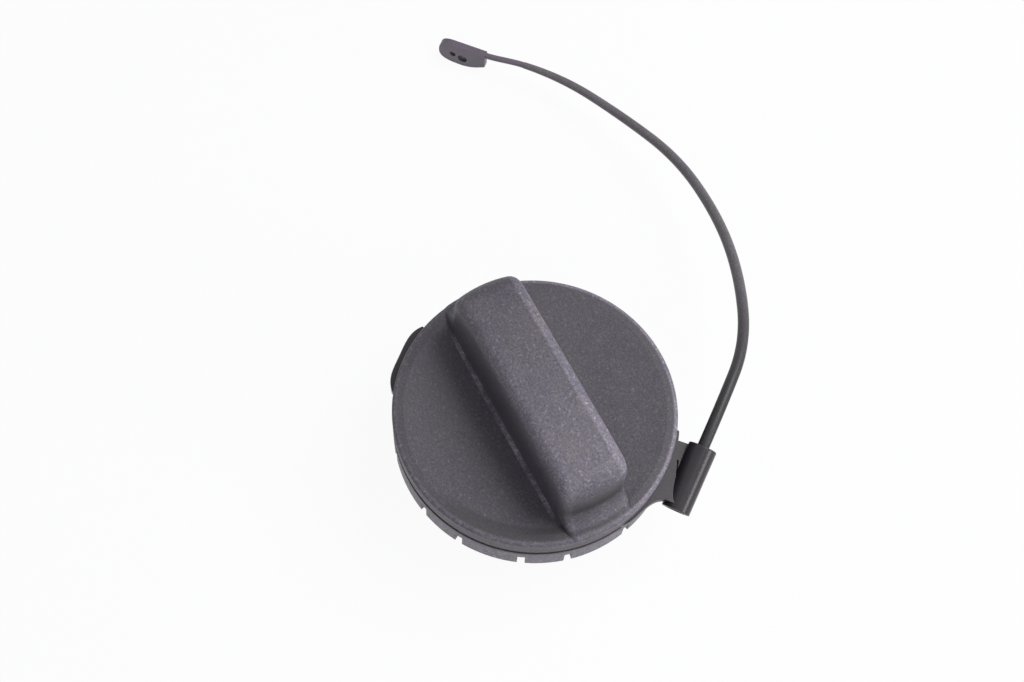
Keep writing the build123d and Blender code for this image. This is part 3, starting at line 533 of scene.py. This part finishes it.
class CAP_OT_strand(bpy.types.Operator):
    """Lay the moulded strand from the sleeve to the end tongue"""

    bl_idname = "cap.strand"
    bl_label = "Strand"

    def execute(self, context):
        sizes = context.scene.cap_strand
        look = context.scene.cap_finishes
        line = bpy.data.curves.new("strand", "CURVE")
        line.dimensions = "3D"
        spline = line.splines.new("NURBS")
        spline.points.add(len(STRAND_POINTS) - 1)
        for point, place, taper in zip(spline.points, STRAND_POINTS, STRAND_TAPER):
            point.co = (*place, 1)
            point.radius = taper
        spline.order_u = 3
        spline.use_endpoint_u = True
        spline.resolution_u = STRAND_RUN_STEPS
        line.bevel_depth = sizes.diameter / 2
        line.bevel_resolution = STRAND_BEVEL_STEPS
        line.use_fill_caps = True
        strand = bpy.data.objects.new("strand", line)
        context.scene.collection.objects.link(strand)
        line.materials.append(smooth_plastic(
            "strand_satin", tuple(look.strand), roughness=0.42, dust=0.6, gloss=0.34, wear=strand_paling))
        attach(strand, "tether")
        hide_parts("tether_cord")
        return {"FINISHED"}


class CAP_OT_closure(bpy.types.Operator):
    """Finish the closure body, its rings, the splash guard and the gasket"""

    bl_idname = "cap.closure"
    bl_label = "Closure"

    def execute(self, context):
        look = context.scene.cap_finishes
        black = smooth_plastic("closure_black", tuple(look.closure), roughness=0.42)
        finish_nodes(("closure_body", "retaining_ring", "splash_guard"), black)
        finish_node("filler_gasket", seal_rubber("gasket_rubber", tuple(look.rubber)))
        return {"FINISHED"}


class CAP_OT_valve(bpy.types.Operator):
    """Finish the torque ring and the vent valve with its seals and springs"""

    bl_idname = "cap.valve"
    bl_label = "Vent valve"

    def execute(self, context):
        look = context.scene.cap_finishes
        acetal = smooth_plastic("valve_acetal", tuple(look.valve), roughness=0.36)
        finish_nodes(("torque_ring", "valve_housing", "pressure_valve", "vacuum_valve"), acetal)
        rubber = seal_rubber("valve_rubber", tuple(look.rubber))
        finish_nodes(("housing_oring", "pressure_seal", "vacuum_seal"), rubber)
        steel = drawn_steel("spring_wire", tuple(look.steel))
        finish_nodes(("pressure_spring", "pressure_spring_seat", "vacuum_spring", "vacuum_keeper"), steel)
        return {"FINISHED"}


class CAP_OT_springs(bpy.types.Operator):
    """Copies of the coil springs, each riding on one body"""

    bl_idname = "cap.springs"
    bl_label = "Springs"

    def execute(self, context):
        self.coil("pressure_coil", "closure", "pressure_lift")
        self.coil("vacuum_coil", "pressure_valve", "vacuum_lift")
        return {"FINISHED"}

    def coil(self, name, body, joint_name):
        """Copy of a spring that rides on one body; one joint names the spring it copies."""
        joint = next(row for row in frame["joints"] if row["name"] == joint_name)
        moved = joint["deforming_nodes"][0]
        spring = bpy.data.objects.new(name, NODES[moved["node"]].data.copy())
        bpy.context.scene.collection.objects.link(spring)
        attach(spring, body)
        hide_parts(moved["node"])
        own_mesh(spring)


class CAP_OT_stage(bpy.types.Operator):
    """Set the pale floor, the soft lamps, the sky and the camera"""

    bl_idname = "cap.stage"
    bl_label = "Stage"

    def execute(self, context):
        settings = context.scene.cap_stage
        self.floor()
        self.sky(context, settings.sky)
        self.lamps(context, settings)
        self.camera(context, settings)
        context.scene.view_settings.view_transform = "Standard"
        return {"FINISHED"}

    def floor(self):
        bpy.ops.object.select_all(action="DESELECT")
        bpy.ops.mesh.primitive_plane_add(size=FLOOR_SIZE, location=(0, 0, 0))
        floor = bpy.context.object
        floor.name = "floor"
        material = bpy.data.materials.new("pale_floor")
        material.use_nodes = True
        tree = material.node_tree
        tree.nodes.clear()
        output = tree.nodes.new("ShaderNodeOutputMaterial")
        mix = tree.nodes.new("ShaderNodeMixShader")
        paper = tree.nodes.new("ShaderNodeBsdfDiffuse")
        paper.inputs["Color"].default_value = FLOOR_GREY
        glow = tree.nodes.new("ShaderNodeEmission")
        glow.inputs["Color"].default_value = FLOOR_GLOW
        share = tree.nodes.new("ShaderNodeMath")
        share.operation = "MULTIPLY"
        share.inputs[1].default_value = GLOW_SHARE
        tree.links.new(self.seen_directly(tree), share.inputs[0])
        tree.links.new(share.outputs[0], mix.inputs["Fac"])
        tree.links.new(paper.outputs[0], mix.inputs[1])
        tree.links.new(glow.outputs[0], mix.inputs[2])
        tree.links.new(mix.outputs[0], output.inputs["Surface"])
        floor.data.materials.append(material)

    def seen_directly(self, tree):
        """Socket that is 1 for what is seen straight on, in a reflection or through a clear piece."""
        path = tree.nodes.new("ShaderNodeLightPath")
        glossy = tree.nodes.new("ShaderNodeMath")
        glossy.operation = "MAXIMUM"
        tree.links.new(path.outputs["Is Camera Ray"], glossy.inputs[0])
        tree.links.new(path.outputs["Is Glossy Ray"], glossy.inputs[1])
        clear = tree.nodes.new("ShaderNodeMath")
        clear.operation = "MAXIMUM"
        tree.links.new(glossy.outputs[0], clear.inputs[0])
        tree.links.new(path.outputs["Is Transmission Ray"], clear.inputs[1])
        return clear.outputs[0]

    def sky(self, context, strength):
        world = bpy.data.worlds.new("studio")
        context.scene.world = world
        world.use_nodes = True
        tree = world.node_tree
        tree.nodes.clear()
        output = tree.nodes.new("ShaderNodeOutputWorld")
        soft = tree.nodes.new("ShaderNodeBackground")
        soft.inputs["Strength"].default_value = strength
        white = tree.nodes.new("ShaderNodeBackground")
        white.inputs["Color"].default_value = WHITE
        white.inputs["Strength"].default_value = 1.0
        mix = tree.nodes.new("ShaderNodeMixShader")
        tree.links.new(self.seen_directly(tree), mix.inputs["Fac"])
        tree.links.new(soft.outputs[0], mix.inputs[1])
        tree.links.new(white.outputs[0], mix.inputs[2])
        tree.links.new(mix.outputs[0], output.inputs["Surface"])

    def lamps(self, context, settings):
        self.lamp(context, "key_lamp", settings.key, place=(0.12, 0.52, 0.85), size=0.6)
        self.lamp(context, "fill_lamp", settings.fill, place=(0.72, -0.29, 0.65), size=0.6)
        self.lamp(context, "edge_lamp", settings.edge, place=(0.87, 0.67, 0.49), size=0.32)

    def lamp(self, context, name, power, place, size):
        """Square lamp that looks at the cap."""
        light = bpy.data.lights.new(name, "AREA")
        light.size = size
        light.energy = power
        lamp = bpy.data.objects.new(name, light)
        context.scene.collection.objects.link(lamp)
        lamp.location = place
        aim = Vector(LAMP_AIM) - Vector(place)
        lamp.rotation_euler = aim.to_track_quat("-Z", "Y").to_euler()

    def camera(self, context, settings):
        lens = bpy.data.cameras.new("camera")
        lens.lens = settings.lens
        lens.sensor_width = SENSOR_WIDTH
        lens.clip_start = 0.01
        camera = bpy.data.objects.new("camera", lens)
        context.scene.collection.objects.link(camera)
        a, e, roll = settings.azimuth, settings.elevation, settings.roll
        back = Vector((cos(e) * cos(a), cos(e) * sin(a), sin(e)))
        level = Vector((-sin(a), cos(a), 0))
        over = back.cross(level)
        right = level * cos(roll) + over * sin(roll)
        above = over * cos(roll) - level * sin(roll)
        turn = Matrix((right, above, back)).transposed()
        camera.matrix_world = Matrix.Translation(
            Vector(settings.target) + back * settings.distance) @ turn.to_4x4()
        context.scene.camera = camera


class CAP_PT_panel(bpy.types.Panel):
    """Lists the cap's pieces and settings in the sidebar"""

    bl_label = "Filler Cap"
    bl_idname = "CAP_PT_panel"
    bl_space_type = "VIEW_3D"
    bl_region_type = "UI"
    bl_category = "Filler Cap"

    def draw(self, context):
        for step in STEPS:
            self.layout.operator(step.bl_idname)
        for group in (context.scene.cap_finishes, context.scene.cap_strand, context.scene.cap_stage):
            box = self.layout.box()
            for name in group.__annotations__:
                box.prop(group, name)


STEPS = (CAP_OT_cover, CAP_OT_tether, CAP_OT_strand, CAP_OT_closure, CAP_OT_valve, CAP_OT_springs,
         CAP_OT_stage)
GROUPS = {"cap_finishes": CapFinishes, "cap_strand": StrandSizes, "cap_stage": StageSettings}


def register():
    for group in GROUPS.values():
        bpy.utils.register_class(group)
    for step in STEPS:
        bpy.utils.register_class(step)
    bpy.utils.register_class(CAP_PT_panel)
    for name, group in GROUPS.items():
        setattr(bpy.types.Scene, name, PointerProperty(type=group))


def unregister():
    for name in GROUPS:
        delattr(bpy.types.Scene, name)
    bpy.utils.unregister_class(CAP_PT_panel)
    for step in reversed(STEPS):
        bpy.utils.unregister_class(step)
    for group in GROUPS.values():
        bpy.utils.unregister_class(group)


def main():
    register()
    bpy.ops.cap.cover()
    bpy.ops.cap.tether()
    bpy.ops.cap.strand()
    bpy.ops.cap.closure()
    bpy.ops.cap.valve()
    bpy.ops.cap.springs()
    bpy.ops.cap.stage()


if __name__ == "__main__":
    main()
